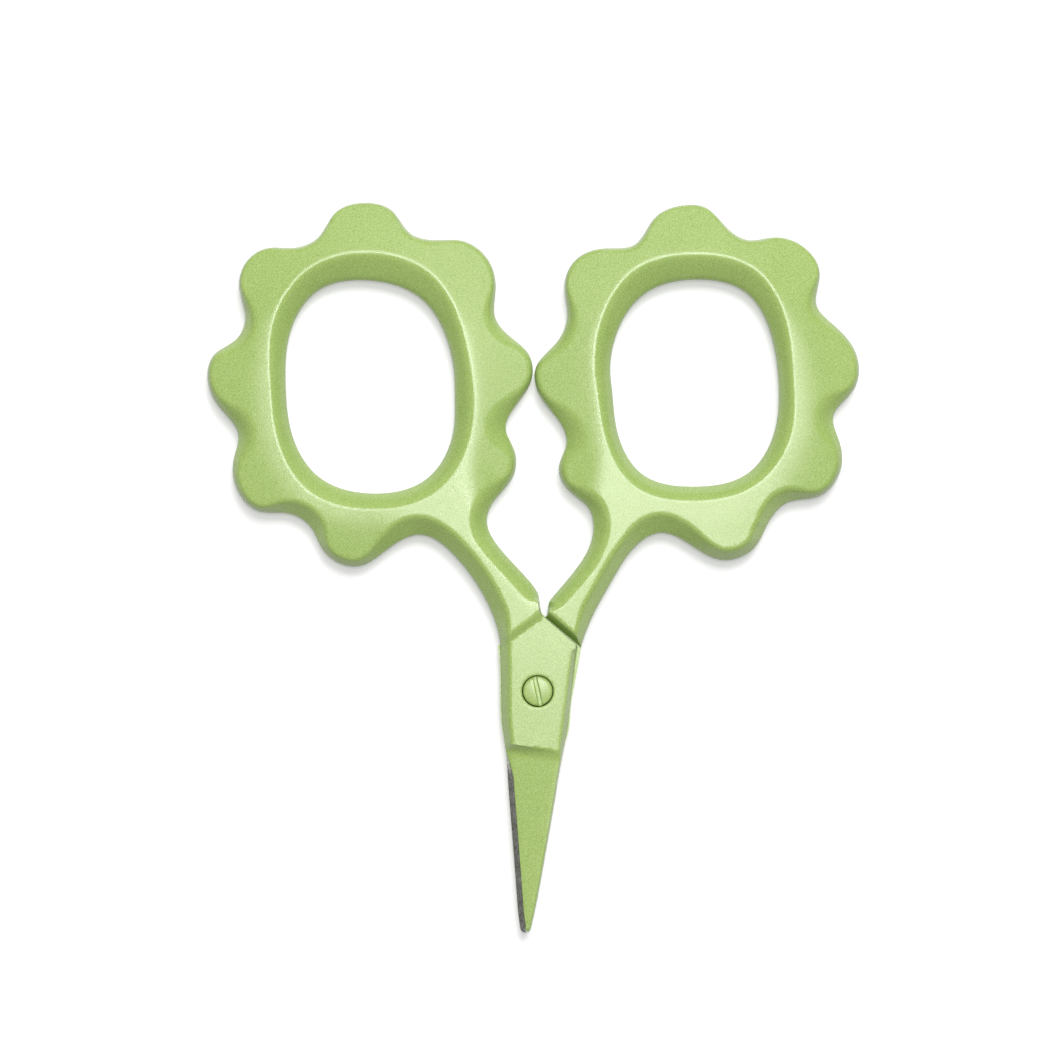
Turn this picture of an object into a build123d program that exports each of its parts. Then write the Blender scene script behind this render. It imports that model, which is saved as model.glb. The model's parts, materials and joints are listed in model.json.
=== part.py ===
from build123d import *
from build123d.topology import SkipClean
import os

# Embroidery scissors with scalloped finger bows, closed and lying flat.
# Two halves cross at one slotted pivot screw. Each half is a single casting: a bow and a shank
# of full thickness, and a flat pivot area and blade of half thickness.
# Millimetres. +Z is up, the bows lie toward +Y and the blade tip toward -Y.
# The origin is on the pivot axis, on the plane that the scissors rest on.
# Both halves are made as an upper half, with its bow on the -X side. The rear half is then
# turned over about the long axis, so that its bow comes to the +X side and its blade beneath.

# ---- heights above the rest plane ----
thickness = 4.4             # at the crest round each finger hole
parting = thickness / 2     # plane where the two blades slide on each other
running_gap = 0.04          # between the two sliding faces
shank_top = 4.15
flat_top = 3.95             # recessed flat round the pivot
blade_root_top = 3.5
blade_tip_top = 2.75
lobe_rise = 1.15            # half thickness at the tips of the scallops
wall_rise = 0.50            # half height of the upright land inside the finger hole

# ---- bow ----
edge_slope = 1.2            # sloping border all round the outline, width and depth
crest_land = 0.5            # flat ring outside the crest, on which the scissors lie
skirt = 9.4                 # from the crest out to the ends of the scallops
compass = range(0, 360, 30)     # directions in which ovals are given
bow_spans = 24              # the long outline of a bow is kept as this many shorter curves
oval_spans = 4

# ---- pivot ----
shoulder_reach = 7.95       # pivot axis to the foot of the shoulder on the other half
shoulder_lean = 0.7         # how far the shoulder face leans back
shoulder_angle = 49.7       # direction of the shoulder, from +X
flat_reach = 7.33           # pivot axis to the edge of the recessed flat
flat_angle = 126.2
flat_lean = 0.6
bearing_radius = 1.40       # plain part of the screw, on which the front half turns
bore_radius = 1.44
thread_radius = 1.20
head_radius = 1.95
counterbore_radius = 2.05
head_height = 0.95
head_clearance = 0.03       # under the head
slot_width = 0.65
slot_depth = 0.50
slot_turn = 8

# ---- blade ----
blade_start = 8.2           # where the blade leaves the pivot area, from the pivot axis
blade_start_turn = -8.3     # tilt of that line
blade_length = 31.45
blade_lean = 0.051          # sideways run of the blade's middle line for each unit of length
tip_radius = 0.72
tuck = 0.12                 # how much narrower the hidden rear blade is, each side
bevel_width = 0.70          # ground cutting bevel
edge_thickness = 0.12       # left under the bevel at the cutting edge
bevel_root = (9.2, 3.56, blade_root_top)                        # station, half width, top
bevel_end = (blade_length + 1, 0.53, blade_tip_top)
blade_half_widths = ((10, 3.45), (14, 3.0), (20, 2.25), (25, 1.63), (28, 1.2))   # stations, half widths

# ---- cutting shapes ----
reach = 120                 # larger than the whole object
overrun = 1                 # how far a cutter runs past the face that it opens
side_room = 6               # how far the shank's block stands clear of the shank
rim_height = 0.01           # an edge this near the top or bottom belongs to its rim


class Half:
    """The shape of one half, seen as if it were the upper one with its bow on the -X side."""


front = Half()
front.outer_shank = [(-4.95, 6.7), (-5.6, 9.2), (-7.6, 13.3), (-10.6, 17.3)]
front.scallops = [
    [(-15.2, 20.25), (-20.0, 18.0), (-23.3, 16.15), (-27.8, 18.1), (-29.4, 21.1)],
    [(-32.6, 23.05), (-36.3, 23.3), (-39.6, 27.8), (-39.4, 30.6)],
    [(-38.9, 33.2), (-41.2, 36.6), (-42.9, 40.2), (-42.1, 43.7), (-39.3, 45.6)],
    [(-38.0, 48.4), (-38.8, 52.2), (-38.2, 55.3), (-35.4, 57.5)],
    [(-31.6, 57.6), (-28.4, 59.1), (-26.4, 62.1), (-22.6, 63.45), (-18.9, 62.4)],
    [(-16.6, 59.5), (-13.2, 58.6), (-9.8, 58.5), (-6.4, 56.0), (-5.45, 52.0)],
    [(-5.6, 48.8), (-3.4, 45.9), (-1.1, 43.7), (-0.75, 40.6), (-2.4, 37.6)],
    [(-4.15, 34.0), (-3.0, 31.2), (-3.2, 27.8), (-5.4, 25.0)],
]
front.inner_shank = [(-6.6, 22.4), (-4.9, 18.5), (0.15, 12.35)]
front.crotch = [(0.3, 11.3), (0.45, 10.2), (1.05, 9.45), (5.2, 5.85)]
front.spine_side = [(4.85, 3.5), (4.45, 0), (4.1, -3), (3.65, -6.3)]
front.edge_side = [(-4.35, -6), (-4.6, -4), (-4.75, 0), (-4.85, 5)]
front.hole_centre = (-21.65, 39.7)
front.hole = (10.85, 11.45, 13.0, 13.6, 14.1, 12.35, 11.1, 12.0, 13.7, 14.05, 14.15, 12.3)
front.crest = (12.9, 13.5, 16.1, 17.1, 16.85, 14.5, 12.7, 13.65, 15.6, 15.75, 15.85, 14.3)
front.lean = -blade_lean
front.tuck = 0

rear = Half()
rear.outer_shank = [(-5.6, 5.6), (-7.0, 9.4), (-9.9, 14.7), (-12.2, 18.2)]
rear.scallops = [
    [(-15.9, 20.5), (-20.5, 18.5), (-24.2, 16.95), (-28.3, 18.7), (-29.7, 21.3)],
    [(-32.6, 24.5), (-36.5, 25.2), (-39.45, 28.9), (-39.2, 32.5)],
    [(-38.4, 35.6), (-41.0, 39.0), (-41.6, 43.2), (-38.9, 47.2)],
    [(-36.2, 50.3), (-36.7, 54.2), (-34.0, 58.1), (-30.6, 58.95)],
    [(-27.3, 58.6), (-24.4, 60.4), (-21.9, 62.8), (-18.4, 63.05), (-15.2, 61.5)],
    [(-12.6, 58.0), (-8.4, 57.5), (-4.6, 55.7), (-3.45, 52.6)],
    [(-3.85, 48.8), (-2.3, 45.1), (0.2, 42.2), (-0.1, 38.6), (-2.7, 35.1)],
    [(-3.75, 32.2), (-2.75, 29.2), (-4.0, 26.0), (-6.6, 23.7)],
]
rear.inner_shank = [(-7.2, 20.6), (-5.6, 16.7), (-1.45, 11.6)]
rear.crotch = [(-1.15, 9.6), (1.05, 9.45), (5.2, 5.85)]
rear.spine_side = [(4.95, 3.5), (4.9, 0), (4.75, -4), (4.45, -6)]
rear.edge_side = [(-3.55, -6.6), (-3.8, -6.0), (-4.3, -2), (-4.6, 0), (-5.1, 2.5)]
rear.hole_centre = (-20.5, 40.1)
rear.hole = (10.95, 11.95, 13.25, 13.35, 13.35, 11.5, 10.8, 12.0, 13.65, 13.55, 13.8, 11.85)
rear.crest = (12.6, 14.1, 16.35, 16.5, 16.2, 13.5, 12.4, 13.85, 15.1, 15.05, 15.3, 13.3)
rear.lean = blade_lean
rear.tuck = tuck


def blade_point(half, station, across):
    """A point `station` along the blade from the pivot and `across` its middle line."""
    return (half.lean * station + across, -station)


def spans(curve, count):
    """The same curve as several shorter ones, end to end."""
    return [curve.trim(i / count, (i + 1) / count) for i in range(count)]


def plan(half):
    """The whole outline of one half, seen from above."""
    spine = [blade_point(half, station, width - half.tuck) for station, width in blade_half_widths]
    edge = [blade_point(half, station, half.tuck - width) for station, width in blade_half_widths]
    edge.reverse()
    tip_station = blade_length - tip_radius
    tip_spine = blade_point(half, tip_station, tip_radius)
    tip_end = blade_point(half, blade_length, 0)
    tip_edge = blade_point(half, tip_station, -tip_radius)
    bow = half.outer_shank + sum(half.scallops, []) + half.inner_shank
    outline = spans(Spline(*bow), bow_spans)
    outline += [
        Polyline(bow[-1], *half.crotch),
        Spline(half.crotch[-1], *half.spine_side, *spine, tip_spine),
        ThreePointArc(tip_spine, tip_end, tip_edge),
        Spline(tip_edge, *edge, half.edge_side[0]),
        Spline(*half.edge_side, bow[0]),
    ]
    return make_face(outline)


def oval(centre, reaches, height):
    """A smooth closed shape at a height, through one point in each compass direction."""
    points = [Vector(*centre, 0) + Vector(r, 0).rotate(Axis.Z, a) for r, a in zip(reaches, compass)]
    return Pos(0, 0, height) * make_face(spans(Spline(*points, periodic=True), oval_spans))


def step_cut(direction, section):
    """A straight cutter: `section` lists (distance from the pivot axis, height) points."""
    outward = Vector(1, 0, 0).rotate(Axis.Z, direction)
    sideways = Vector(0, -1, 0).rotate(Axis.Z, direction)
    upright = Plane(origin=(0, 0, 0), x_dir=outward, z_dir=sideways)
    return extrude(upright * make_face(Polyline(*section, close=True)), reach / 2, both=True)


def relief(half):
    """Everything under the gently falling top of the bow, over the mirror of the same surface."""
    ring = [r + crest_land for r in half.crest]
    outer = [r + skirt for r in half.crest]
    lobe_tips = oval(half.hole_centre, outer, parting + lobe_rise)
    top = loft([lobe_tips, oval(half.hole_centre, ring, thickness)])
    bottom = mirror(top, Plane.XY.offset(parting))
    middle = extrude(oval(half.hole_centre, outer, parting - lobe_rise), 2 * lobe_rise)
    left, low = half.outer_shank[0]
    right = side_room - left
    block = [
        half.scallops[0][0], (left - side_room, low), (left, -reach / 2), (right, -reach / 2),
        (right, low + side_room), half.inner_shank[0], half.hole_centre]
    shank = extrude(make_face(Polyline(*block, close=True)), 2 * shank_top - thickness)
    return top + bottom + middle + Pos(0, 0, thickness - shank_top) * shank


def finger_hole(half):
    """The finger hole, flaring from an upright land to the crest on both faces."""
    land = extrude(oval(half.hole_centre, half.hole, -overrun), thickness + 2 * overrun)
    land_top = oval(half.hole_centre, half.hole, parting + wall_rise)
    flare = loft([land_top, oval(half.hole_centre, half.crest, thickness)])
    return land + flare + mirror(flare, Plane.XY.offset(parting))


def upper_half(half):
    """One half with its blade in the upper layer, before the pivot holes."""
    outline = plan(half)
    blade_side = Rot(0, 0, blade_start_turn) * Pos(0, -blade_start - reach / 2) * Rectangle(reach, reach)
    body = extrude(outline - blade_side, thickness)
    rims = [edge for edge in body.edges() if abs(edge.center().Z - parting) > parting - rim_height]
    body = chamfer(rims, edge_slope)
    body = body & relief(half)
    body -= finger_hole(half)

    sliding_face = parting + running_gap / 2
    above = thickness + overrun
    below = -overrun
    other_shoulder = step_cut(180 - shoulder_angle, [
        (-reach, sliding_face), (shoulder_reach, sliding_face),
        (shoulder_reach + shoulder_lean, below), (-reach, below)])
    recess = step_cut(flat_angle, [
        (-reach, flat_top), (flat_reach, flat_top), (flat_reach + flat_lean, above), (-reach, above)])
    body = body - other_shoulder - recess

    blade = Pos(0, 0, sliding_face) * extrude(outline & blade_side, blade_root_top - sliding_face)
    taper = step_cut(90, [
        (-blade_start, blade_root_top), (-blade_length, blade_tip_top), (-reach, above),
        (-blade_start, above)])
    return body + (blade - taper - cutting_bevel(half))


def cutting_bevel(half):
    """The wedge ground away along the cutting edge."""
    ends = []
    for station, width, top in (bevel_root, bevel_end):
        edge = blade_point(half, station, half.tuck - width)
        drop = top - parting - edge_thickness
        outside = top - drop * (1 + overrun / bevel_width)
        section = [
            (bevel_width, top), (0, top - drop), (-overrun, outside), (-overrun, top + overrun),
            (bevel_width, top + overrun)]
        wire = Polyline(*[(edge[0] + x, edge[1], z) for x, z in section], close=True)
        ends.append(make_face(wire))
    return loft(ends, ruled=True)


def front_half():
    """The upper half, counterbored for the screw head."""
    head_seat = flat_top - head_height
    body = upper_half(front)
    body -= extrude(Circle(bore_radius), thickness + overrun)
    return body - Pos(0, 0, head_seat - head_clearance) * extrude(Circle(counterbore_radius), thickness)


def rear_half():
    """The lower half, tapped for the screw; the thread is left plain."""
    body = upper_half(rear)
    body = Pos(0, 0, parting) * Rot(0, 180, 0) * Pos(0, 0, -parting) * body
    return body - Pos(0, 0, -overrun) * extrude(Circle(thread_radius), thickness + 2 * overrun)


def pivot_screw():
    """Slotted screw: head in the front half, thread in the rear half, flush at both ends."""
    sliding_face = parting - running_gap / 2
    foot = thickness - flat_top
    head_seat = flat_top - head_height
    screw = Pos(0, 0, foot) * extrude(Circle(thread_radius), head_seat - foot)
    screw += Pos(0, 0, sliding_face) * extrude(Circle(bearing_radius), head_seat - sliding_face)
    screw += Pos(0, 0, head_seat) * extrude(Circle(head_radius), head_height)
    slot = Rot(0, 0, slot_turn) * Pos(0, 0, flat_top) * Box(slot_width, 3 * head_radius, 2 * slot_depth)
    return screw - slot


os.makedirs("parts", exist_ok=True)
with SkipClean():           # the short curves of the outline stay apart
    pieces = {"front_half": front_half(), "rear_half": rear_half(), "pivot_screw": pivot_screw()}
for name, piece in pieces.items():
    export_step(piece, f"parts/{name}.step")
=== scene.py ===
import json
import math

import bmesh
import bpy
import numpy as np
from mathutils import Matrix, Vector, geometry, kdtree


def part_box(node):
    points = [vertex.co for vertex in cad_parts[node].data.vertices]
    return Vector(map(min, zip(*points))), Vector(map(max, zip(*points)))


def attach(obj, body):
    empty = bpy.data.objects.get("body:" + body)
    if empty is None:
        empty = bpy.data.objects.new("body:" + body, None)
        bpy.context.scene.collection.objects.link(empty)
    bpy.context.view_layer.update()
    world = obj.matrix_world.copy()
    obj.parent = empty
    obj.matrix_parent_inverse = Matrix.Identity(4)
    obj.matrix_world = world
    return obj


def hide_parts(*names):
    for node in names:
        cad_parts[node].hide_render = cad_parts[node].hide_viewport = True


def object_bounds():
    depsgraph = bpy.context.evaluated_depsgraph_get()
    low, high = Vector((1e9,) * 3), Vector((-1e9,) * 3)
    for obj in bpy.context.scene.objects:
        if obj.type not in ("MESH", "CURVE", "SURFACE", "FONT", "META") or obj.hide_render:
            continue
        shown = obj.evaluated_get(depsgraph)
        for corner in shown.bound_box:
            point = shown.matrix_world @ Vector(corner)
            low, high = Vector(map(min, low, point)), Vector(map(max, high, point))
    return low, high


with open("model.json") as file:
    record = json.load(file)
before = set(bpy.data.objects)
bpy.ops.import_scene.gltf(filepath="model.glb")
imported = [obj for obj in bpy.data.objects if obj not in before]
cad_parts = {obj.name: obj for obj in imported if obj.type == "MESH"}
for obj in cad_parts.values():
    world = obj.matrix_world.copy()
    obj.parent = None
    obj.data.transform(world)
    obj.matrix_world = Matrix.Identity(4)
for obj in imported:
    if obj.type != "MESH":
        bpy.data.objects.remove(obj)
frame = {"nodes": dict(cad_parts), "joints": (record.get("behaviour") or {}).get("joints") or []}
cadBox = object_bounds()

mm = 0.001
pivotAt = np.array(frame["joints"][0]["pos_m"]) / mm     # pivot axis and parting plane, in mm
parting = pivotAt[2]
print("scissors: frame loaded, parting plane at", round(parting, 2), "mm")

# how finely the metal is divided, in mm
meshing = {
    "outlineLevel": 0.06,     # an outline is cut this far from the parting plane
    "crestLevel": 0.02,       # and the crest this far below the top
    "fineStep": 0.04,         # first pass along an outline, before it is smoothed
    "outlineStep": 0.27,      # between points along the edges
    "crestStep": 0.1,
    "outlineBlur": 0.16,      # length over which the facets of an outline are smoothed
    "holeBlur": 0.3,
    "spacing": 0.30,          # between points inside
    "rowHeight": 0.866,       # between rows inside, as a share of the spacing
    "gridMargin": 0.4,        # room between the last inset and the grid, as a share of the spacing
    "insets": (0.05, 0.13, 0.25, 0.42, 0.62, 0.86),      # rows of points beside an edge
    "insetLeast": 0.97,       # share of its inset that each of these points keeps
    "lineStep": 0.2,
    "lineLength": 28,
    "lineGap": 0.1,           # room kept beside a line
    "edgeGap": 0.04,          # room kept between an edge and the end of a line
    "cell": 0.11,             # at most one point in each square of this size
    "boreSides": 72,
    "batch": 2000,            # points measured at a time
}


# outlines cut from the frame, in mm

def levelLoops(node, height):
    # closed loops where a level plane cuts a frame node, longest first
    work = bmesh.new()
    work.from_mesh(frame["nodes"][node].data)
    bmesh.ops.remove_doubles(work, verts=work.verts, dist=1e-7)
    everything = work.verts[:] + work.edges[:] + work.faces[:]
    cut = bmesh.ops.bisect_plane(work, geom=everything, plane_co=(0, 0, height * mm), plane_no=(0, 0, 1))
    edges = {piece for piece in cut["geom_cut"] if isinstance(piece, bmesh.types.BMEdge)}
    loops = []
    while edges:
        first = edges.pop()
        chain = list(first.verts)
        while True:
            onward = next((edge for edge in chain[-1].link_edges if edge in edges), None)
            if onward is None:
                break
            edges.discard(onward)
            chain.append(onward.other_vert(chain[-1]))
        loops.append(np.array([corner.co[:2] for corner in chain[:-1]]) / mm)
    work.free()
    return sorted(loops, key=loopLength, reverse=True)


def loopLength(loop):
    return np.linalg.norm(np.roll(loop, -1, 0) - loop, axis=1).sum()


def loopArea(loop):
    onward = np.roll(loop, -1, 0)
    return (loop[:, 0] * onward[:, 1] - onward[:, 0] * loop[:, 1]).sum() / 2


def turnedOver(loop):
    return loop * (-1, 1)


def smoothed(loop, step, blur):
    # a closed loop of even points, smoothed over a length of blur
    frequency = np.fft.fftfreq(len(loop), step)
    soften = np.exp(-2 * (math.pi * frequency * blur) ** 2)
    return np.fft.ifft(np.fft.fft(loop, axis=0) * soften[:, None], axis=0).real


def evenly(loop, step, blur, clockwise=False):
    # even points along a closed loop
    if (loopArea(loop) < 0) != clockwise:
        loop = loop[::-1]
    loop = np.roll(loop, -(loop @ (0.01, 1)).argmax(), axis=0)      # the same start on every run
    closed = np.vstack([loop, loop[:1]])
    run = np.concatenate([[0], np.cumsum(np.linalg.norm(np.diff(closed, axis=0), axis=1))])
    count = int(run[-1] / meshing["fineStep"])
    at = np.arange(count) * run[-1] / count
    points = np.stack([np.interp(at, run, closed[:, axis]) for axis in (0, 1)], 1)
    points = smoothed(points, run[-1] / count, blur)
    wanted = round(run[-1] / step)
    return points[(np.arange(wanted) * count / wanted).astype(int)]


def ring(radius, count):
    # a clockwise circle round the pivot
    angle = -np.arange(count) * 2 * math.pi / count
    return np.stack([np.cos(angle), np.sin(angle)], 1) * radius


# distances and blends

def toLoop(points, loop):
    # distance from each point to a loop, and how far along the loop, in steps, its nearest place is
    distance, along = np.empty(len(points)), np.empty(len(points))
    batch = meshing["batch"]
    for start in range(0, len(points), batch):
        some = points[start:start + batch]
        nearest = ((some[:, None] - loop[None]) ** 2).sum(2).argmin(1)
        best = np.full(len(some), np.inf)
        where = nearest.astype(float)
        for back in (1, 0):
            first = (nearest - back) % len(loop)
            a, b = loop[first], loop[(first + 1) % len(loop)]
            side = b - a
            t = np.clip(((some - a) * side).sum(1) / (side ** 2).sum(1), 0, 1)
            away = np.linalg.norm(a + side * t[:, None] - some, axis=1)
            closer = away < best
            best[closer], where[closer] = away[closer], (first + t)[closer]
        distance[start:start + batch], along[start:start + batch] = best, where
    return distance, along


def around(values, along):
    # a value given at each step of a loop, read between the steps
    low = np.floor(along).astype(int) % len(values)
    part = along - np.floor(along)
    return values[low] * (1 - part) + values[(low + 1) % len(values)] * part


def between(pairs, at):
    # a value given at a few places, read between them
    places, values = zip(*pairs)
    return np.interp(at, places, values)


def smoothStep(x, low, high):
    t = np.clip((x - low) / (high - low), 0, 1)
    return t * t * (3 - 2 * t)


def smoothMin(a, b, soft):
    blend = np.maximum(soft - np.abs(a - b), 0) / soft
    return np.minimum(a, b) - blend * blend * soft / 4


def inside(points, loop):
    hit = np.zeros(len(points), bool)
    for a, b in zip(loop, np.roll(loop, -1, 0)):
        crosses = (a[1] > points[:, 1]) != (b[1] > points[:, 1])
        if crosses.any():
            x = a[0] + (points[:, 1] - a[1]) / (b[1] - a[1] + 1e-12) * (b[0] - a[0])
            hit ^= crosses & (points[:, 0] < x)
    return hit


def inMetal(points, loops):
    # the first loop is the outside, the others are holes
    found = inside(points, loops[0])
    for hole in loops[1:]:
        found &= ~inside(points, hole)
    return found


def inwards(loop):
    # unit normals that point into the metal
    tangent = np.roll(loop, -1, 0) - np.roll(loop, 1, 0)
    normal = np.stack([-tangent[:, 1], tangent[:, 0]], 1)
    return normal / np.linalg.norm(normal, axis=1, keepdims=True)


def straight(direction, reach):
    # points of a line square to a direction, at a distance from the pivot
    angle = math.radians(direction)
    half = meshing["lineLength"] / 2
    across = np.arange(-half, half, meshing["lineStep"])
    return np.stack([reach * math.cos(angle) - across * math.sin(angle),
                     reach * math.sin(angle) + across * math.cos(angle)], 1)


def reachAlong(points, direction):
    angle = math.radians(direction)
    return points[:, 0] * math.cos(angle) + points[:, 1] * math.sin(angle)


# a level sheet of small triangles between loops, with edges along the given lines

def clearOf(points, loops, least):
    # which points lie in the metal, further than the least distance from every loop
    gap = np.min([toLoop(points, loop)[0] for loop in loops], axis=0)
    return inMetal(points, loops) & (gap > least)


def offsetRows(loops, insets):
    rows = []
    for inset in insets:
        for loop in loops:
            row = loop + inwards(loop) * inset
            rows.append(row[clearOf(row, loops, inset * meshing["insetLeast"])])
    return rows


def triangleGrid(loops, spacing, margin):
    # points of a grid of even triangles, kept a margin away from the loops
    low, high = loops[0].min(0), loops[0].max(0)
    rows = []
    for k, y in enumerate(np.arange(low[1], high[1], spacing * meshing["rowHeight"])):
        x = np.arange(low[0] + (k % 2) * spacing / 2, high[0], spacing)
        rows.append(np.stack([x, np.full(len(x), y)], 1))
    grid = np.vstack(rows)
    return grid[clearOf(grid, loops, margin)]


def sheet(loops, lines, insets, spacing):
    points, edges, rims = [], [], []
    for loop in loops:
        rims.append(np.arange(len(loop)) + len(points))
        edges += [(len(points) + i, len(points) + (i + 1) % len(loop)) for i in range(len(loop))]
        points += loop.tolist()

    near = kdtree.KDTree(sum(len(line) for line in lines) + 1)
    for line in lines:
        ok = clearOf(line, loops, meshing["edgeGap"])
        index = np.full(len(line), -1)
        index[ok] = np.arange(ok.sum()) + len(points)
        edges += [(a, b) for a, b in zip(index[:-1], index[1:]) if a >= 0 and b >= 0]
        points += line[ok].tolist()
        for x, y in line[ok]:
            near.insert((x, y, 0), 0)
    near.balance()

    rows = offsetRows(loops, insets)
    rows.append(triangleGrid(loops, spacing, insets[-1] + spacing * meshing["gridMargin"]))
    taken = set()
    cell = meshing["cell"]
    for x, y in np.vstack(rows):
        square = (round(x / cell), round(y / cell))
        if square in taken:
            continue
        found = near.find((x, y, 0))[2]
        if found is not None and found < meshing["lineGap"]:
            continue
        taken.add(square)
        points.append([x, y])

    result = geometry.delaunay_2d_cdt([Vector(point) for point in points], edges, [], 1, 1e-5)
    flat = np.array([tuple(place) for place in result[0]])
    faces = np.array([face for face in result[2] if len(face) == 3])
    made = {source: out for out, sources in enumerate(result[3]) for source in sources}
    faces = faces[inMetal(flat[faces].mean(1), loops)]
    a, b, c = flat[faces[:, 0]], flat[faces[:, 1]], flat[faces[:, 2]]
    turn = (b[:, 0] - a[:, 0]) * (c[:, 1] - a[:, 1]) - (b[:, 1] - a[:, 1]) * (c[:, 0] - a[:, 0])
    faces[turn < 0] = faces[turn < 0][:, ::-1]
    return flat, faces, [[made[i] for i in rim] for rim in rims]


# the shape of one half, as if it were the upper one with its bow on the -X side; lengths in mm,
# heights above the parting plane, directions in degrees

halfShape = {
    # bow and shank
    "fall": 0.135,            # how steeply the top of the bow falls away from its crest
    "fallDirection": (188, 205, 222, 238, 262, 285, 299, 311, 323, 335),
    "frontFall": (1, 1, 1, 0.95, 0.95, 0.9, 0.8, 1, 1, 1),     # share of the fall
    "rearFall": (1, 0.9, 0.75, 0.2, 0.04, 0.04, 0.3, 0.8, 1, 1),
    "fallSoft": (0.25, 0.7),          # rounding where the fall begins, and what the level band adds
    "shankAcross": (3.5, 9.0),        # the fall begins this far from the shank's middle line
    "shankReach": (8.0, 18.0),        # and this far from the pivot
    "holeLand": 0.38,         # height of the upright land in the finger hole
    "holeRound": (0.24, 0.16),        # drop of its rounded edge, and how far it reaches
    "holeBulge": 0.18,        # how full the sloping wall of the hole is
    # round the bow, by direction: width of the sloping border at the bottoms of the notches
    # and at the scallop tips, its softness, and the level band beside the crest
    "around": (0, 26, 50, 90, 130, 155, 188, 205, 238, 262, 285, 300, 315, 342),
    "notchWall": (1.2, 0.8, 0.4, 0.25, 0.35, 1.0, 1.5, 1.6, 1.95, 2.2, 2.5, 2.0, 1.5, 1.5),
    "tipWall": (0.30, 0.22, 0.16, 0.14, 0.16, 0.25, 0.35, 0.40, 0.5, 0.85, 0.9, 0.6, 0.45, 0.35),
    "wallSoft": (1.4, 1.0, 0.5, 0.3, 0.5, 1.2, 1.3, 0.9, 0.3, 0.25, 0.25, 0.3, 0.9, 1.4),
    "levelBand": (0.7, 0.7, 0.0, -0.4, 0.0, 1.6, 2.6, 2.7, 2.6, 2.5, 2.4, 2.2, 1.6, 0.8),
    "crestSoft": (0.5, 0.45, 0.35, 0.3, 0.35, 0.45, 0.5, 0.5, 0.5, 0.5, 0.5, 0.5, 0.5, 0.5),
    "plainBlur": 3.2,         # smooths the scallops away, to tell a notch from a tip
    "notchDepth": (-1.0, 1.1),        # depth from a scallop tip to the bottom of a notch
    "rearWideTip": 0.5,       # what is added to the border of the rear half's lowest scallop
    "wideTipX": (-30.3, -18.3),
    "wideTipTop": 21,
    # borders of the shank
    "shankFrom": (-15, -12),          # x over which the bow's border turns into the shank's
    "shankTo": (18, 21),              # y over which it turns back
    "shankInside": 28,        # direction of the shank's inner side
    "frontCut": 12.0,         # y of the cut end of the shank's inner side
    "rearCut": 10.8,
    "innerPastCut": (-0.3, 0.1, 1.6),      # y past the cut, then plain y
    "innerAt": (18, 22),
    "innerWall": (0.14, 0.75, 1.0, 1.2, 1.3),
    "innerSoft": ((-0.3, 0.12), (0.6, 0.9)),
    "outerWall": ((5, 1.1), (7, 1.4), (10, 1.9), (18, 2.0), (21, 2.4)),
    "outerSoft": 0.3,
    "rearOuterLess": 0.25,
    # borders of the pivot area and the blade, by distance along the blade from the pivot
    "edgeWall": ((-7, 1.2), (6.5, 0.95), (8.2, 0.66), (9.6, 0.5), (11.5, 0.3)),
    "spineWall": ((-9.3, 0.04), (-5.9, 0.04), (-5.2, 0.56), (7, 0.62), (8.6, 0.24), (30, 0.18)),
    "edgeSoft": ((-7, 0.3), (-5, 0.14)),
    "spineSoft": ((-5.9, 0.01), (-5.2, 0.14), (5, 0.14), (9, 0.08)),
    "pivotAreaTop": (6.0, 9.0),       # y over which these borders end
    "spineAreaTop": 9.8,
    "spineTop": 9,
    "bevelWidth": ((8.2, 0.04), (9.5, 0.38), (11.5, 0.76)),
    "edgeThickness": 0.10,
    "lowLip": 0.12,           # half height of the parting line at the edges
    "lipRound": (0.2, 0.07),          # rise of its rounded edge, and how far it reaches
    "softLimits": (0.02, 0.95),
    # recessed flat round the pivot
    "flatHeight": 1.75,
    "flatReach": 7.33,        # from the pivot to the foot of the ramp
    "flatAngle": 126.2,
    "flatRamp": 0.55,
    "flatSoft": 0.06,
    "rampTop": 0.15,          # the ramp runs out this far below the crest's height
    "flatEnd": 14,
    # shoulder of the other half
    "shoulderReach": 7.94,
    "shoulderLean": 0.76,     # how far it leans back over its height
    "shoulderCrease": 0.97,   # share of the lean at which its top edge bends
    "shoulderHeight": 2.1,
    "shoulderAngle": 130.3,
    "shoulderSoft": 0.16,
    # blade
    "sliding": 0.02,          # from the parting plane to the sliding face
    "bladeStart": 7.25,
    "bladeStartTurn": 8.3,
    "scoop": 1.5,             # length of the hollow from the flat down to the blade
    "bladeFrom": 8,
    "bladeHeight": 1.32,      # at the spine, where the blade begins
    "bladeThinning": 0.030,
    "bladeTilt": 0.115,
    "bladeWidth": 3.4,        # where the blade begins, down to nothing at its length
    "bladeLength": 36,
    "spineLand": 0.30,        # level strip along the spine of the blade
    "spineRidge": 0.07,       # rounding beside it
    "linesFrom": 8.4,         # where the fine lines along the blade begin
    "linesShort": 0.75,       # and how far from the tip they end
    "sharpAngle": 42,         # edges sharper than this show as creases
    # steel left bare on the sliding face, and the border painted round it
    "bareFromShoulder": 0.9,
    "paintedBorder": ((4, 1.3), (10, 0.3)),
}

boreShape = {
    "frontBore": 1.44,
    "counterbore": 2.05,
    "counterboreDepth": 0.98,
    "rearBore": 1.20,
    "rimDrop": (0.09, 0.05),          # drop of the rounded rim, and how far it reaches
}


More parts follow.
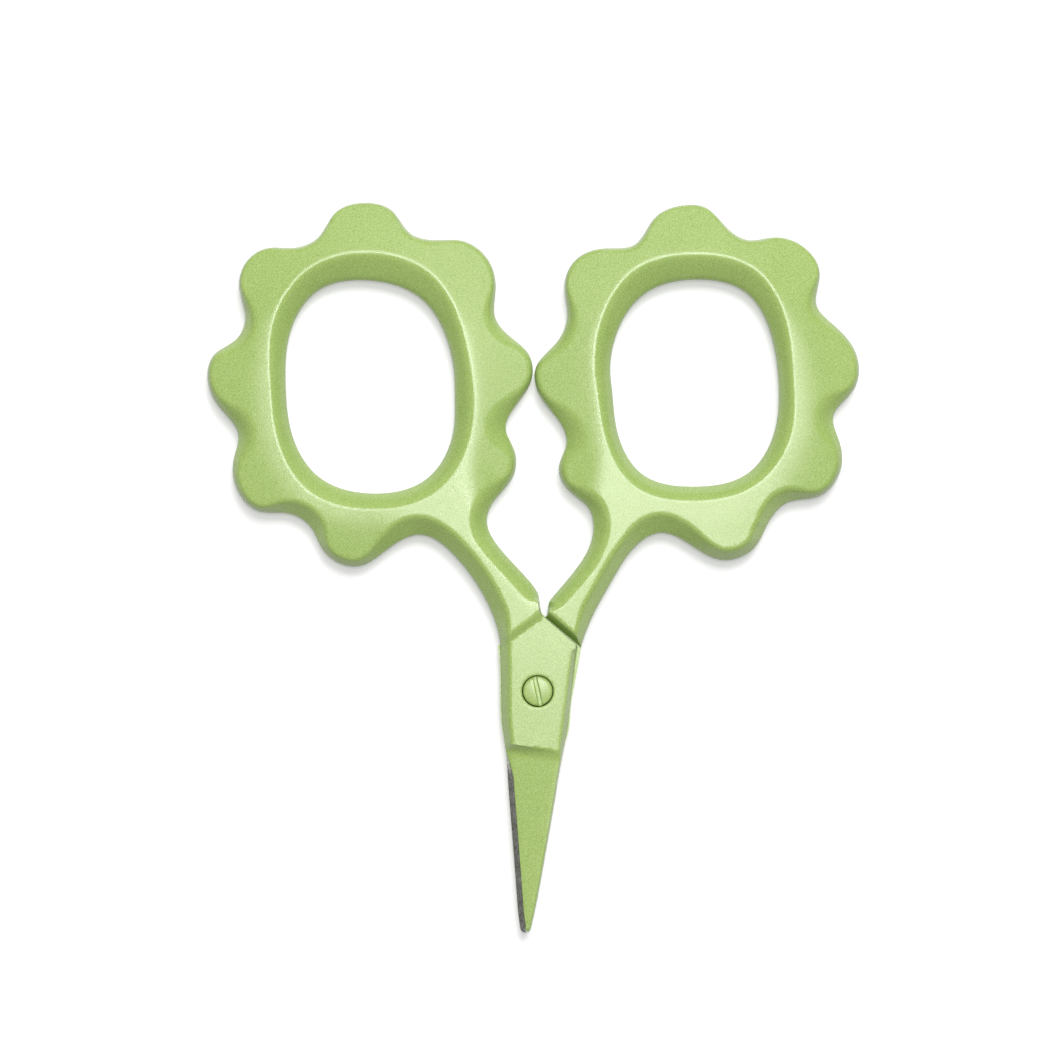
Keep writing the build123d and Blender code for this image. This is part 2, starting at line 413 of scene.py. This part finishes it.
class Half:
    # one half: its node's outlines, directions and borders

    def __init__(self, node, rear):
        s, m = halfShape, meshing
        self.rear = rear
        side = -1 if rear else 1
        flip = turnedOver if rear else (lambda loop: loop)
        level = [flip(loop) for loop in levelLoops(node, parting + side * m["outlineLevel"])]
        top = [flip(loop) for loop in levelLoops(node, parting * 2 - m["crestLevel"])]
        self.outline = evenly(level[0], m["outlineStep"], m["outlineBlur"])
        self.hole = evenly(level[1], m["outlineStep"], m["holeBlur"], clockwise=True)
        self.crest = evenly(top[1], m["crestStep"], m["holeBlur"])
        self.centre = self.hole.mean(0)
        self.towardPivot = (pivotAt[:2] - self.centre) / np.linalg.norm(pivotAt[:2] - self.centre)
        tip = self.outline[self.outline[:, 1].argmin()]
        self.linesTo = -tip[1] - s["linesShort"]
        self.bladeAxis = tip / np.linalg.norm(tip)
        self.bladeSquare = np.array([-self.bladeAxis[1], self.bladeAxis[0]])
        self.setBorders()

    def onBlade(self, points):
        # distance along the blade from the pivot, and across it toward the spine
        return points @ self.bladeAxis, points @ self.bladeSquare

    def polar(self, points):
        away = points - self.centre
        return np.linalg.norm(away, axis=1), np.arctan2(away[:, 1], away[:, 0])

    def radiusAt(self, loop, angle):
        r, a = self.polar(loop)
        order = np.argsort(a)
        return np.interp(angle, a[order], r[order], period=2 * math.pi)

    def roundBow(self, points, name):
        # one of the values given by direction round the bow
        r, angle = self.polar(points)
        return np.interp(np.degrees(angle), halfShape["around"], halfShape[name], period=360)

    def setBorders(self):
        # width and softness of the sloping border at each point of the outline
        s = halfShape
        outline = self.outline
        x, y = outline.T
        width, soft = self.bowBorder()
        shank = smoothStep(x, *s["shankFrom"]) * (1 - smoothStep(y, *s["shankTo"]))
        shankWidth, shankSoft = self.shankBorder()
        width = width * (1 - shank) + shankWidth * shank
        soft = soft * (1 - shank) + shankSoft * shank

        # the pivot area and the blade
        station, across = self.onBlade(outline)
        spine = across > 0
        low = 1 - smoothStep(y, *s["pivotAreaTop"])
        low = np.where(spine & (y < s["spineAreaTop"]), 1, low)
        low = np.where(y > s["spineAreaTop"], 0, low)
        bladeWidth = np.where(spine, between(s["spineWall"], station), between(s["edgeWall"], station))
        bladeSoft = np.where(spine, between(s["spineSoft"], station), between(s["edgeSoft"], station))
        self.wall = width * (1 - low) + bladeWidth * low
        self.soft = soft * (1 - low) + bladeSoft * low
        self.onBevel = (~spine) & (station > s["bevelWidth"][0][0])
        self.bevel = np.where(self.onBevel, between(s["bevelWidth"], station), 0.0)
        self.onSpine = spine & (y < s["spineTop"])

    def bowBorder(self):
        s = halfShape
        outline = self.outline
        plain = smoothed(outline, meshing["outlineStep"], s["plainBlur"])
        notch = ((outline - plain) * inwards(outline)).sum(1)
        notchWall, tipWall = self.roundBow(outline, "notchWall"), self.roundBow(outline, "tipWall")
        if self.rear:
            x, y = outline.T
            low, high = s["wideTipX"]
            tipWall = tipWall + s["rearWideTip"] * ((x > low) & (x < high) & (y < s["wideTipTop"]))
        width = tipWall + (notchWall - tipWall) * smoothStep(notch, *s["notchDepth"])
        return width, self.roundBow(outline, "wallSoft")

    def shankBorder(self):
        s = halfShape
        y = self.outline[:, 1]
        cut = s["rearCut"] if self.rear else s["frontCut"]
        places = [cut + past for past in s["innerPastCut"]] + list(s["innerAt"])
        innerWidth = np.interp(y, places, s["innerWall"])
        outerWidth = between(s["outerWall"], y) - (s["rearOuterLess"] if self.rear else 0)
        innerSide = reachAlong(self.outline, s["shankInside"]) > 0
        width = np.where(innerSide, innerWidth, outerWidth)
        return width, np.where(innerSide, between(s["innerSoft"], y - cut), s["outerSoft"])

    def fallAt(self, points, angle):
        # how steeply the top falls away, by direction, and level over the shank and the pivot
        s = halfShape
        share = s["rearFall"] if self.rear else s["frontFall"]
        fall = s["fall"] * np.interp(np.degrees(angle), s["fallDirection"], share, period=360)
        away = points - self.centre
        toward = self.towardPivot
        besideShank = np.abs(away[:, 0] * toward[1] - away[:, 1] * toward[0])
        fall = np.where(away @ toward > 0, fall * smoothStep(besideShank, *s["shankAcross"]), fall)
        return fall * smoothStep(reachAlong(points, s["flatAngle"]), *s["shankReach"])

    def bowTop(self, points):
        # the top of bow and shank above the parting plane, without its sloping border
        s = halfShape
        r, angle = self.polar(points)
        holeAt = self.radiusAt(self.hole, angle)
        crestAt = self.radiusAt(self.crest, angle)
        band = self.roundBow(points, "levelBand")
        past = r - crestAt - band
        soft = s["fallSoft"][0] + np.maximum(band, 0) * s["fallSoft"][1]
        outer = parting - self.fallAt(points, angle) * (past + np.sqrt(past ** 2 + soft ** 2)) / 2
        up = (r - holeAt) / (crestAt - holeAt)
        bulge = s["holeBulge"] * up * np.maximum(1 - up, 0)
        inner = s["holeLand"] + (parting - s["holeLand"]) * (up + bulge)
        drop, dropReach = s["holeRound"]
        inner -= drop * np.exp(-np.maximum(r - holeAt, 0) / dropReach)
        return smoothMin(outer, inner, self.roundBow(points, "crestSoft"))

    def bordered(self, points, top):
        # the top surface brought down to the parting line all round, and the ground bevel
        s = halfShape
        distance, along = toLoop(points, self.outline)
        width = around(self.wall, along)
        soft = around(self.soft, along)
        bevel = around(self.bevel, along)
        inward = np.maximum(distance, bevel)
        lipRise, lipReach = s["lipRound"]
        lip = s["lowLip"] + lipRise * (1 - np.exp(-inward / lipReach))
        rise = smoothMin(inward / width, np.ones(len(points)), np.clip(soft / width, *s["softLimits"]))
        height = lip + (top - lip) * rise
        edge = s["edgeThickness"]
        ground = edge + (height - edge) * distance / np.maximum(bevel, 0.01)
        return np.where(distance < bevel, ground, height)

    def outerHeight(self, points):
        # the face that shows when this half is the upper one
        s = halfShape
        reach = reachAlong(points, s["flatAngle"])
        ramp = s["flatHeight"] + np.maximum(reach - s["flatReach"], 0) * s["flatRamp"]
        top = self.bowTop(points)
        top = np.where(reach < s["flatEnd"], smoothMin(top, ramp, s["flatSoft"]), top)

        station, across = self.onBlade(points)
        distance, along = toLoop(points, self.outline)
        bySpine = around(self.onSpine.astype(float), along) > 0.5
        fromLand = distance - s["spineLand"] - around(self.wall, along)
        tilted = np.where(bySpine, np.minimum(across, across + fromLand), across)
        taper = s["bladeWidth"] * (1 - station / s["bladeLength"])
        face = s["bladeHeight"] - s["bladeThinning"] * (station - s["bladeFrom"])
        face = face + s["bladeTilt"] * (tilted - taper)
        line = -reachAlong(points, 90 - s["bladeStartTurn"])
        t = np.clip((line - s["bladeStart"]) / s["scoop"], 0, 1)
        blade = face + (s["flatHeight"] - face) * (1 - t) ** 2
        return self.bordered(points, np.where(line > s["bladeStart"], blade, top))

    def slidingHeight(self, points):
        # the other face: bow and shank as before, then the shoulder down to the flat sliding face
        s = halfShape
        bow = self.bordered(points, self.bowTop(points))
        up = np.maximum(reachAlong(points, s["shoulderAngle"]) - s["shoulderReach"], 0)
        ramp = -s["sliding"] + up / s["shoulderLean"] * s["shoulderHeight"]
        return -smoothMin(bow, ramp, s["shoulderSoft"])

    def bladeLine(self, which, depth):
        # a line beside part of the outline, along the blade
        line = (self.outline + inwards(self.outline) * depth[:, None])[which]
        station = line @ self.bladeAxis
        return line[(station > halfShape["linesFrom"]) & (station < self.linesTo)]

    def outerLines(self):
        # places where the outer face bends, so that its triangles follow them
        s = halfShape
        rampTop = s["flatReach"] + (parting - s["rampTop"] - s["flatHeight"]) / s["flatRamp"]
        lines = [straight(s["flatAngle"], s["flatReach"]), straight(s["flatAngle"], rampTop),
                 straight(-90 - s["bladeStartTurn"], s["bladeStart"]),
                 self.bladeLine(self.onBevel, self.bevel)]
        for beside in (0.0, s["spineRidge"], s["spineLand"]):
            lines.append(self.bladeLine(self.onSpine, self.wall + beside))
        return lines

    def slidingLines(self):
        s = halfShape
        foot = s["shoulderReach"]
        return [straight(s["shoulderAngle"], foot),
                straight(s["shoulderAngle"], foot + s["shoulderLean"] * s["shoulderCrease"])]

    def steelShades(self, outer, sliding):
        # 1 for each face of bare ground steel, 0 for paint
        s = halfShape
        middle = outer[0][outer[1]].mean(1)
        distance, along = toLoop(middle, self.outline)
        bevel = distance < around(self.bevel, along)
        middle = sliding[0][sliding[1]].mean(1)
        distance, along = toLoop(middle, self.outline)
        border = between(s["paintedBorder"], middle @ self.bladeAxis)
        short = s["shoulderReach"] - s["bareFromShoulder"]
        bare = (reachAlong(middle, s["shoulderAngle"]) < short) & (distance > border)
        return bevel.astype(int).tolist() + bare.astype(int).tolist()


# meshes

def buildHalf(name, half, boreRadius, headRadius):
    b, m = boreShape, meshing
    sides = m["boreSides"]
    topRing, lowRing = ring(headRadius, sides), ring(boreRadius, sides)
    outer = sheet([half.outline, half.hole, topRing], half.outerLines(), m["insets"], m["spacing"])
    sliding = sheet([half.outline, half.hole, lowRing], half.slidingLines(), m["insets"], m["spacing"])
    drop, dropReach = b["rimDrop"]
    fromRim = np.maximum(np.linalg.norm(outer[0], axis=1) - headRadius, 0)
    outerZ = half.outerHeight(outer[0]) - drop * np.exp(-fromRim / dropReach)
    slidingZ = half.slidingHeight(sliding[0])

    points = np.column_stack([outer[0], outerZ]).tolist()
    below = len(points)
    points += np.column_stack([sliding[0], slidingZ]).tolist()
    faces = outer[1].tolist() + (sliding[1][:, ::-1] + below).tolist()
    shade = half.steelShades(outer, sliding)
    outerRims = outer[2]
    slidingRims = [[below + i for i in rim] for rim in sliding[2]]

    def bridge(upper, lower, shades):
        for i in range(len(upper)):
            k = (i + 1) % len(upper)
            faces.append((upper[i], lower[i], lower[k], upper[k]))
            shade.append(shades[i])

    def levelRing(like, height):
        start = len(points)
        points.extend([x, y, height] for x, y in like)
        return list(range(start, start + len(like)))

    steelAll, recessShadeAll = [1] * sides, [2] * sides
    bridge(outerRims[0], slidingRims[0], half.onBevel.astype(int).tolist())
    bridge(outerRims[1], slidingRims[1], [0] * len(outerRims[1]))
    if headRadius > boreRadius:
        seat = halfShape["flatHeight"] - b["counterboreDepth"]
        outerSeat, innerSeat = levelRing(topRing, seat), levelRing(lowRing, seat)
        # the counterbore's wall and seat take the dark painted-shade material, which stands in for the shade
        # in the gap round the screw head
        bridge(outerRims[2], outerSeat, recessShadeAll)
        bridge(outerSeat, innerSeat, recessShadeAll)
        bridge(innerSeat, slidingRims[2], steelAll)
    else:
        bridge(outerRims[2], slidingRims[2], steelAll)

    places = np.array(points)
    if half.rear:
        places *= (-1, 1, -1)
    places[:, 2] += parting
    return finished(name, places * mm, faces, shade, halfShape["sharpAngle"])


def finished(name, places, faces, shade, sharpAngle):
    mesh = bpy.data.meshes.new(name)
    mesh.from_pydata(places.tolist(), [], faces)
    work = bmesh.new()
    work.from_mesh(mesh)
    for face, own in zip(work.faces, shade):
        face.material_index = own
        face.smooth = True
    bmesh.ops.recalc_face_normals(work, faces=work.faces)
    work.to_mesh(mesh)
    work.free()
    mesh.set_sharp_from_angle(angle=math.radians(sharpAngle))
    piece = bpy.data.objects.new(name, mesh)
    bpy.context.scene.collection.objects.link(piece)
    print("scissors:", name, len(mesh.polygons), "faces")
    return piece


# pivot screw: a turned head with a cut slot, over a plain shank

screwShape = {
    "sides": 96,
    "headRadius": 1.92,
    "headTop": 1.74,          # above the parting plane
    "headFoot": 0.80,
    "dome": 0.10,
    "edge": (0.16, 0.06),     # drop of the rounded edge, and how far it reaches
    "slotWidth": 0.64,
    "slotFloor": 0.55,        # width of the slot's floor, as a share of its width at the top
    "slotDepth": 0.34,
    "slotTurn": 12,
    "slotSoft": 0.08,
    "bearingRadius": 1.40,
    "bearingFoot": -0.02,
    "footRadius": 1.20,
    "spacing": 0.12,
    "insets": (0.04, 0.1, 0.18),
    "lineReach": 2.3,
    "lineStep": 0.1,
    "sharpAngle": 38,
}


def screwTop(places, square):
    # height of the head: domed, rounded at the edge, with the slot cut across it
    s = screwShape
    r = np.linalg.norm(places, axis=1)
    edgeDrop, edgeReach = s["edge"]
    top = s["headTop"] - s["dome"] * (r / s["headRadius"]) ** 2
    top -= edgeDrop * np.exp(-(s["headRadius"] - r) / edgeReach)
    half = s["slotWidth"] / 2
    floorHalf = half * s["slotFloor"]
    up = np.maximum(np.abs(places @ square) - floorHalf, 0) / (half - floorHalf)
    return smoothMin(top, s["headTop"] - s["slotDepth"] + up * s["slotDepth"], s["slotSoft"])


def buildScrew():
    s = screwShape
    sides = s["sides"]
    low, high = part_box("pivot_screw")
    foot = low[2] / mm - parting
    head = ring(s["headRadius"], sides)[::-1]
    turn = math.radians(s["slotTurn"])
    square = np.array([math.cos(turn), math.sin(turn)])
    lengthwise = np.array([-math.sin(turn), math.cos(turn)])
    reach = np.arange(-s["lineReach"], s["lineReach"], s["lineStep"])[:, None]
    half = s["slotWidth"] / 2
    shifts = (-half, half, -half * s["slotFloor"], half * s["slotFloor"])
    lines = [lengthwise * reach + square * shift for shift in shifts]
    flat, triangles, rims = sheet([head], lines, s["insets"], s["spacing"])
    points = np.column_stack([flat, screwTop(flat, square)]).tolist()
    faces = triangles.tolist()
    shade = [0] * len(faces)
    upper = rims[0]
    steps = ((s["headRadius"], s["headFoot"]), (s["bearingRadius"], s["headFoot"]),
             (s["bearingRadius"], s["bearingFoot"]), (s["footRadius"], s["bearingFoot"]),
             (s["footRadius"], foot))
    for step, (radius, height) in enumerate(steps):
        start = len(points)
        scale = radius / s["headRadius"]
        points += [[x * scale, y * scale, height] for x, y in head]
        lower = list(range(start, start + sides))
        for i in range(sides):
            k = (i + 1) % sides
            faces.append((upper[i], lower[i], lower[k], upper[k]))
            shade.append(0 if step == 0 else 1)
        upper = lower
    faces.append(tuple(upper))
    shade.append(0)
    places = np.array(points)
    places[:, 2] += parting
    return finished("screw", places * mm, faces, shade, s["sharpAngle"])


frontHalf = Half("front_half", rear=False)
rearHalf = Half("rear_half", rear=True)
print("scissors: outlines read")
frontPiece = buildHalf("frontCasting", frontHalf, boreShape["frontBore"], boreShape["counterbore"])
rearPiece = buildHalf("rearCasting", rearHalf, boreShape["rearBore"], boreShape["rearBore"])
screwPiece = buildScrew()

for piece, body, node, slot in (
    (frontPiece, "front", "front_half", "green_paint"),
    (rearPiece, "rear", "rear_half", "green_paint"),
    (screwPiece, "rear", "pivot_screw", "screw_paint"),
):
    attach(piece, body)
    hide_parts(node)


# shader maths

class Shade:
    # one output of a node, with arithmetic that adds the nodes it needs

    def __init__(self, tree, socket=None):
        self.tree, self.socket = tree, socket

    def node(self, kind, settings=None, inputs=None, output=0):
        made = self.tree.nodes.new(kind)
        for name, value in (settings or {}).items():
            setattr(made, name, value)
        for name, value in (inputs or {}).items():
            if isinstance(value, Shade):
                self.tree.links.new(value.socket, made.inputs[name])
            else:
                made.inputs[name].default_value = value
        return Shade(self.tree, made.outputs[output])

    def noise(self, place, scale, detail=2.0, **inputs):
        inputs.update({"Vector": place, "Scale": scale, "Detail": detail})
        return self.node("ShaderNodeTexNoise", {}, inputs)

    def maths(self, operation, a, b, clamp=False):
        return self.node("ShaderNodeMath", {"operation": operation, "use_clamp": clamp}, {0: a, 1: b})

    def __add__(self, other):
        return self.maths("ADD", self, other)

    def __radd__(self, other):
        return self.maths("ADD", other, self)

    def __sub__(self, other):
        return self.maths("SUBTRACT", self, other)

    def __rsub__(self, other):
        return self.maths("SUBTRACT", other, self)

    def __mul__(self, other):
        return self.maths("MULTIPLY", self, other)

    def __rmul__(self, other):
        return self.maths("MULTIPLY", other, self)

    def clamped(self):
        return self.maths("ADD", self, 0.0, clamp=True)

    def mix(self, low, high):
        # a colour between two, by this value
        return self.node("ShaderNodeMix", {"data_type": "RGBA"}, {0: self, 6: low, 7: high}, 2)


def newMaterial(name):
    material = bpy.data.materials.new(name)
    material.use_nodes = True
    tree = material.node_tree
    surface = next(node for node in tree.nodes if node.type == "BSDF_PRINCIPLED")
    return material, surface, Shade(tree)


def feed(surface, name, value):
    surface.id_data.links.new(value.socket, surface.inputs[name])


def colour(r, g, b):
    # display values, 0 to 255, as linear light
    return tuple(((value / 255 + 0.055) / 1.055) ** 2.4 for value in (r, g, b)) + (1.0,)


paintLook = {
    "body": colour(177, 204, 117),
    "deep": colour(142, 173, 80),
    "pearl": colour(222, 234, 182),
    "roughness": 0.25,
    "grain": 0.13,            # mm across one grain
    "grainHeight": 0.012,     # mm
    "grainContrast": 3.6,
    "bodyShare": 0.56,        # how much of the surface leans to the body colour
    "cloudScale": 140.0,      # broad unevenness, per metre
    "cloudContrast": 0.4,
    "flakeScale": 2.1,        # flakes of pearl, finer than the grain by this much
    "flakeFrom": 0.60,
    "flakeContrast": 8,
    "flakeShine": 0.65,
    "flakeHeight": 0.4,       # of a flake, beside the grain
    "grainRoughness": 0.14,
    "flakeRoughness": 0.06,
    "specular": 0.9,
}


def satinPaint():
    s = paintLook
    material, surface, base = newMaterial("satinGreenPaint")
    place = base.node("ShaderNodeTexCoord", output="Object")
    perMetre = 1 / (s["grain"] * mm)
    grain = base.noise(place, perMetre, Roughness=0.6)
    speck = base.noise(place, perMetre * s["flakeScale"], detail=1.0)
    cloud = base.noise(place, s["cloudScale"], detail=3.0)
    grainTone = (grain - 0.5) * s["grainContrast"]
    tone = (grainTone + (cloud - 0.5) * s["cloudContrast"] + s["bodyShare"]).clamped()
    body = tone.mix(s["deep"], s["body"])
    flake = ((speck - s["flakeFrom"]) * s["flakeContrast"]).clamped()
    feed(surface, "Base Color", (flake * s["flakeShine"]).mix(body, s["pearl"]))
    uneven = (grain - 0.5) * s["grainRoughness"]
    feed(surface, "Roughness", (s["roughness"] + uneven - flake * s["flakeRoughness"]).clamped())
    relief = {"Strength": 1.0, "Distance": s["grainHeight"] * mm, "Height": grain + speck * s["flakeHeight"]}
    feed(surface, "Normal", base.node("ShaderNodeBump", {}, relief))
    surface.inputs["Specular IOR Level"].default_value = s["specular"]
    return material


steelLook = {
    "dark": colour(136, 136, 124),
    "light": colour(222, 222, 214),
    "roughness": 0.36,
    "scratchScale": 9000.0,   # per metre
    "scratchLength": 0.35,    # lower stretches the scratches along the blade
    "scratchContrast": 2.2,
    "scratchDepth": 0.004,    # mm
    "scratchRoughness": 0.3,
    "blotchScale": 900.0,
    "blotchContrast": 0.8,
}


def groundSteel():
    s = steelLook
    material, surface, base = newMaterial("groundSteel")
    place = base.node("ShaderNodeTexCoord", output="Object")
    stretch = {"Vector": place, "Scale": (1.0, s["scratchLength"], 1.0)}
    scratch = base.noise(base.node("ShaderNodeMapping", {}, stretch), s["scratchScale"])
    blotch = base.noise(place, s["blotchScale"])
    scratchTone = (scratch - 0.5) * s["scratchContrast"]
    tone = (scratchTone + (blotch - 0.5) * s["blotchContrast"] + 0.5).clamped()
    feed(surface, "Base Color", tone.mix(s["dark"], s["light"]))
    uneven = (scratch - 0.5) * s["scratchRoughness"]
    feed(surface, "Roughness", (s["roughness"] + uneven).clamped())
    relief = {"Strength": 0.5, "Distance": s["scratchDepth"] * mm, "Height": scratch}
    feed(surface, "Normal", base.node("ShaderNodeBump", {}, relief))
    surface.inputs["Metallic"].default_value = 1.0
    return material


# colours of the painted shade in the counterbore recess: dark, with a faint mottle
recessShadeLook = {
    "dark": colour(40, 52, 24),
    "light": colour(74, 92, 44),
    "shadeMottleScale": 3000.0,
    "roughness": 0.7,
}


# a dark colour painted on the counterbore's wall and seat, standing in for the shade in the gap round the
# screw head; painted shade, not the paint's own colour
def recessPaintedShade():
    s = recessShadeLook
    material, surface, base = newMaterial("paintedShadeRecess")
    place = base.node("ShaderNodeTexCoord", output="Object")
    shadeMottle = base.noise(place, s["shadeMottleScale"])
    feed(surface, "Base Color", shadeMottle.mix(s["dark"], s["light"]))
    surface.inputs["Roughness"].default_value = s["roughness"]
    return material


# each face's material index is 0 for paint, 1 for ground steel, 2 for the painted shade in the counterbore
# recess
paint = satinPaint()
finishes = (paint, groundSteel(), recessPaintedShade())
for piece in (frontPiece, rearPiece, screwPiece):
    for material in finishes:
        piece.data.materials.append(material)
for node in frame["nodes"].values():
    node.data.materials.clear()
    node.data.materials.append(paint)
print("scissors: materials made")


# floor, light and camera; lengths in metres

studio = {
    "floorSize": 3.0,
    "floorTone": (0.80, 0.80, 0.80, 1),
    "floorGlow": 0.34,
    "floorRoughness": 0.9,
    "floorSpecular": 0.1,
    "viewWidth": 0.1378,      # across the picture, at the parting plane
    "viewCentre": (-0.0010, 0.0209),
    "cameraHeight": 0.60,
    "cameraRange": (0.01, 10),
    "keyPower": 8.7,
    "keySize": 0.50,
    "keyFrom": (0.12, 0.55, 0.90),
    "overheadPower": 1.9,
    "overheadSize": 0.16,
    "overheadFrom": (0.02, 0.105, 0.90),
    "lightsAimAt": (0, 0.02, 0),
    "worldStrength": 0.22,
}


def makeFloor():
    s = studio
    side = s["floorSize"] / 2
    corners = [(-side, -side, 0), (side, -side, 0), (side, side, 0), (-side, side, 0)]
    mesh = bpy.data.meshes.new("floor")
    mesh.from_pydata(corners, [], [(0, 1, 2, 3)])
    floor = bpy.data.objects.new("floor", mesh)
    bpy.context.scene.collection.objects.link(floor)
    floor.location.z = cadBox[0].z
    floor.visible_diffuse = False      # keeps the hollows from being filled with bounced light
    material, surface, base = newMaterial("paleFloor")
    surface.inputs["Base Color"].default_value = s["floorTone"]
    surface.inputs["Emission Color"].default_value = (1, 1, 1, 1)
    surface.inputs["Emission Strength"].default_value = s["floorGlow"]
    surface.inputs["Roughness"].default_value = s["floorRoughness"]
    surface.inputs["Specular IOR Level"].default_value = s["floorSpecular"]
    mesh.materials.append(material)


def areaLight(name, power, size, position, mirrored=True):
    light = bpy.data.lights.new(name, "AREA")
    light.energy, light.size = power, size
    lamp = bpy.data.objects.new(name, light)
    bpy.context.scene.collection.objects.link(lamp)
    lamp.location = position
    lamp.visible_glossy = mirrored      # the key light isn't seen reflected, only the overhead one
    aim = Vector(studio["lightsAimAt"]) - Vector(position)
    lamp.rotation_euler = aim.to_track_quat("-Z", "Y").to_euler()


def makeLights():
    s = studio
    areaLight("key", s["keyPower"], s["keySize"], s["keyFrom"], mirrored=False)
    areaLight("overhead", s["overheadPower"], s["overheadSize"], s["overheadFrom"])
    world = bpy.data.worlds.new("studio")
    bpy.context.scene.world = world
    world.use_nodes = True
    background = world.node_tree.nodes["Background"]
    background.inputs["Color"].default_value = (1, 1, 1, 1)
    background.inputs["Strength"].default_value = s["worldStrength"]


def makeCamera():
    # straight above, looking down
    s = studio
    scene = bpy.context.scene
    scene.view_settings.view_transform = "Standard"
    camera = bpy.data.cameras.new("camera")
    camera.lens = camera.sensor_width * (s["cameraHeight"] - parting * mm) / s["viewWidth"]
    camera.clip_start, camera.clip_end = s["cameraRange"]
    view = bpy.data.objects.new("camera", camera)
    scene.collection.objects.link(view)
    view.location = (*s["viewCentre"], s["cameraHeight"])
    scene.camera = view


makeFloor()
makeLights()
makeCamera()
print("scissors: studio ready")
